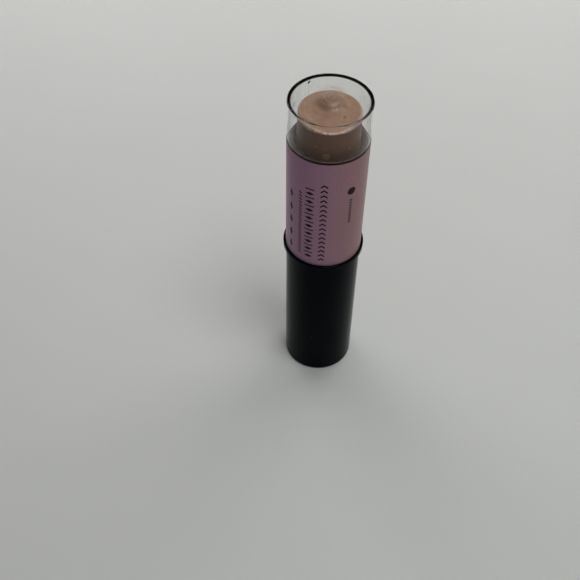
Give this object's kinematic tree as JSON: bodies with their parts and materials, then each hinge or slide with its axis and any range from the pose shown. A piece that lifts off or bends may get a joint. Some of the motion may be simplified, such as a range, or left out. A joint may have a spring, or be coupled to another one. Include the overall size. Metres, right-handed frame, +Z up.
{
  "type": "twist-up highlighter stick",
  "caption": "Slim round cosmetic stick standing on its foot: glossy black twist base, labelled clear cap, and a beige highlighter bullet wound up inside.",
  "frame": {"origin": "centre of the foot, on the surface that the stick stands on", "axes": "+Z up along the stick's axis to the top of the cap; the carrier's lugs lie along X"},
  "size_m": [0.0234, 0.0234, 0.102],
  "materials": {
    "black_gloss": "polished black moulding",
    "black_sleeve": "satin black moulding",
    "dark_moulding": "plain black moulding",
    "weight_steel": "plain turned steel",
    "brake_rubber": "greased rubber ring",
    "highlighter_wax": "creamy wax with fine pearl",
    "clear_plastic": "clear polished moulding",
    "label_film": "pearly mauve film",
    "sticker_paper": "satin coated paper"
  },
  "bodies": {
    "base": {"base_shell": "black_gloss", "shade_sticker": "sticker_paper", "base_weight": "weight_steel", "slotted_tube": "dark_moulding", "brake_ring": "brake_rubber"},
    "sleeve": {"outer_sleeve": "black_sleeve", "cam_sleeve": "dark_moulding"},
    "carrier": {"carrier_cup": "dark_moulding", "highlighter_bullet": "highlighter_wax"},
    "cap": {"clear_cap": "clear_plastic", "cap_label": "label_film"}
  },
  "joints": [
    {"name": "twist", "type": "hinge", "parent": "base", "child": "sleeve", "pos_m": [0, 0, 0.05], "axis": [0, 0, 1], "range_deg": [0, 1080]},
    {"name": "bullet_travel", "type": "slide", "parent": "base", "child": "carrier", "axis": [0, 0, 1], "range_m": [-0.0451, 0]},
    {"name": "cap_pull", "type": "slide", "parent": "base", "child": "cap", "axis": [0, 0, 1], "range_m": [0, 0.06]}
  ],
  "couplings": [
    {"joint": "bullet_travel", "follows": "twist", "m_per_rad": -0.0023873}
  ]
}
